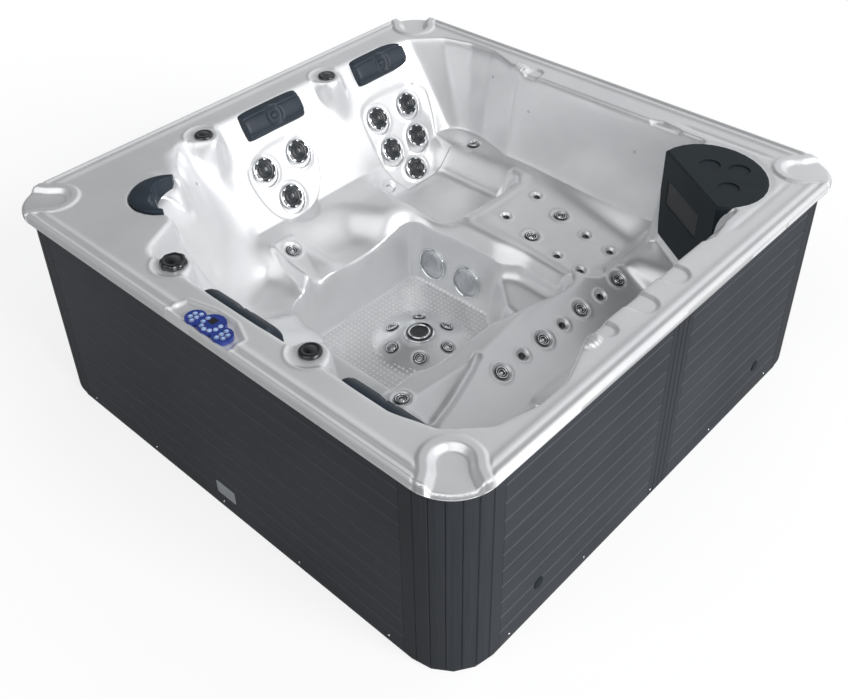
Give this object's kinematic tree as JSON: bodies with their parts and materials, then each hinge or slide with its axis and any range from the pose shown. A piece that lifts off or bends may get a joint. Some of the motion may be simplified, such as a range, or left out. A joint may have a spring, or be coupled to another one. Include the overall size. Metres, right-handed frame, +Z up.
{
  "type": "hot tub",
  "caption": "Square acrylic hot tub with moulded seats, loungers and footwell, head pillows, wall jets, rim knobs and keypad, corner screen console and a skirt of planks.",
  "frame": {"origin": "middle of the underside of the base tray, on the floor", "axes": "+Z up. The control panel is on the -Y side and the two-part plank side with the plugs is the +X side."},
  "size_m": [2.2, 2.2, 0.881],
  "materials": {
    "acrylic": "gloss",
    "black_plastic": "matte",
    "frame_timber": "planed softwood",
    "slate_planks": "satin",
    "charcoal_planks": "satin",
    "gloss_black": "gloss",
    "pillow_foam": "soft skinned foam",
    "blue_panel": "satin",
    "dark_glass": "gloss",
    "pale_blue_keys": "matte",
    "console_plastic": "satin",
    "jet_chrome": "polished",
    "grey_plastic": "satin",
    "white_pipe": "satin"
  },
  "bodies": {
    "tub": {"acrylic_shell": "acrylic", "base_tray": "black_plastic", "support_frame": "frame_timber", "right_panel_near": "slate_planks", "right_panel_far": "slate_planks", "right_joining_strip": "slate_planks", "back_panel": "slate_planks", "left_panel": "charcoal_planks", "front_panel": "charcoal_planks", "corner_panel_back_right": "charcoal_planks", "corner_panel_back_left": "charcoal_planks", "corner_panel_front_left": "charcoal_planks", "corner_panel_front_right": "charcoal_planks", "vent_plug_1": "gloss_black", "vent_plug_2": "gloss_black", "left_seat_pillow": "pillow_foam", "lounger_pillow": "pillow_foam", "front_seat_pillow": "pillow_foam", "bench_pillow": "pillow_foam", "corner_pillow": "pillow_foam", "control_panel": "blue_panel", "display_window": "dark_glass", "console_housing": "console_plastic", "screen": "dark_glass", "small_jet_1": "jet_chrome", "small_jet_2": "jet_chrome", "small_jet_3": "jet_chrome", "small_jet_4": "jet_chrome", "small_jet_5": "jet_chrome", "small_jet_6": "jet_chrome", "small_jet_7": "jet_chrome", "small_jet_8": "jet_chrome", "small_jet_9": "jet_chrome", "small_jet_10": "jet_chrome", "small_jet_11": "jet_chrome", "small_jet_12": "jet_chrome", "suction_cover_1": "grey_plastic", "suction_cover_2": "grey_plastic", "drain_cover": "grey_plastic", "pump_1": "black_plastic", "pump_2": "black_plastic", "air_blower": "black_plastic", "control_pack": "black_plastic", "supply_pipe": "white_pipe"},
    "air_knob_1": {"air_knob_1": "gloss_black"},
    "air_knob_2": {"air_knob_2": "gloss_black"},
    "diverter_knob_1": {"diverter_knob_1": "gloss_black"},
    "diverter_knob_2": {"diverter_knob_2": "gloss_black"},
    "large_jet_1": {"large_jet_1": "jet_chrome"},
    "large_jet_2": {"large_jet_2": "jet_chrome"},
    "large_jet_3": {"large_jet_3": "jet_chrome"},
    "large_jet_4": {"large_jet_4": "jet_chrome"},
    "large_jet_5": {"large_jet_5": "jet_chrome"},
    "large_jet_6": {"large_jet_6": "jet_chrome"},
    "large_jet_7": {"large_jet_7": "jet_chrome"},
    "large_jet_8": {"large_jet_8": "jet_chrome"},
    "key_1": {"key_1": "pale_blue_keys"},
    "key_2": {"key_2": "pale_blue_keys"},
    "key_3": {"key_3": "pale_blue_keys"},
    "key_4": {"key_4": "pale_blue_keys"}
  },
  "joints": [
    {"name": "air_knob_1_turn", "type": "hinge", "parent": "tub", "child": "air_knob_1", "pos_m": [-0.9196, -0.3135, 0.856], "axis": [0, 0, 1], "range_deg": [0, 120]},
    {"name": "air_knob_2_turn", "type": "hinge", "parent": "tub", "child": "air_knob_2", "pos_m": [-0.9196, 0.3608, 0.856], "axis": [0, 0, 1], "range_deg": [0, 120]},
    {"name": "diverter_knob_1_turn", "type": "hinge", "parent": "tub", "child": "diverter_knob_1", "pos_m": [-0.3135, -0.9196, 0.856], "axis": [0, 0, 1], "range_deg": [-90, 90]},
    {"name": "diverter_knob_2_turn", "type": "hinge", "parent": "tub", "child": "diverter_knob_2", "pos_m": [0.3608, -0.9196, 0.856], "axis": [0, 0, 1], "range_deg": [-90, 90]},
    {"name": "large_jet_1_turn", "type": "hinge", "parent": "tub", "child": "large_jet_1", "pos_m": [-0.81579, 0.0748, 0.65167], "axis": [0.8562, 0, 0.5166], "range_deg": [0, 90]},
    {"name": "large_jet_2_turn", "type": "hinge", "parent": "tub", "child": "large_jet_2", "pos_m": [-0.81319, -0.1133, 0.64736], "axis": [0.8562, 0, 0.5166], "range_deg": [0, 90]},
    {"name": "large_jet_3_turn", "type": "hinge", "parent": "tub", "child": "large_jet_3", "pos_m": [-0.73569, -0.0484, 0.51892], "axis": [0.8562, 0, 0.5166], "range_deg": [0, 90]},
    {"name": "large_jet_4_turn", "type": "hinge", "parent": "tub", "child": "large_jet_4", "pos_m": [-0.79498, 0.7282, 0.61719], "axis": [0.8562, 0, 0.5166], "range_deg": [0, 90]},
    {"name": "large_jet_5_turn", "type": "hinge", "parent": "tub", "child": "large_jet_5", "pos_m": [-0.79654, 0.539, 0.61978], "axis": [0.8562, 0, 0.5166], "range_deg": [0, 90]},
    {"name": "large_jet_6_turn", "type": "hinge", "parent": "tub", "child": "large_jet_6", "pos_m": [-0.718, 0.7095, 0.48962], "axis": [0.8562, 0, 0.5166], "range_deg": [0, 90]},
    {"name": "large_jet_7_turn", "type": "hinge", "parent": "tub", "child": "large_jet_7", "pos_m": [-0.718, 0.5423, 0.48962], "axis": [0.8562, 0, 0.5166], "range_deg": [0, 90]},
    {"name": "large_jet_8_turn", "type": "hinge", "parent": "tub", "child": "large_jet_8", "pos_m": [-0.65065, 0.6259, 0.37799], "axis": [0.8562, 0, 0.5166], "range_deg": [0, 90]},
    {"name": "key_1_press", "type": "slide", "parent": "tub", "child": "key_1", "axis": [0, 0, -1], "range_m": [0, 0.001], "stiffness_N_per_m": 300, "springref_m": -0.001},
    {"name": "key_2_press", "type": "slide", "parent": "tub", "child": "key_2", "axis": [0, 0, -1], "range_m": [0, 0.001], "stiffness_N_per_m": 300, "springref_m": -0.001},
    {"name": "key_3_press", "type": "slide", "parent": "tub", "child": "key_3", "axis": [0, 0, -1], "range_m": [0, 0.001], "stiffness_N_per_m": 300, "springref_m": -0.001},
    {"name": "key_4_press", "type": "slide", "parent": "tub", "child": "key_4", "axis": [0, 0, -1], "range_m": [0, 0.001], "stiffness_N_per_m": 300, "springref_m": -0.001}
  ]
}
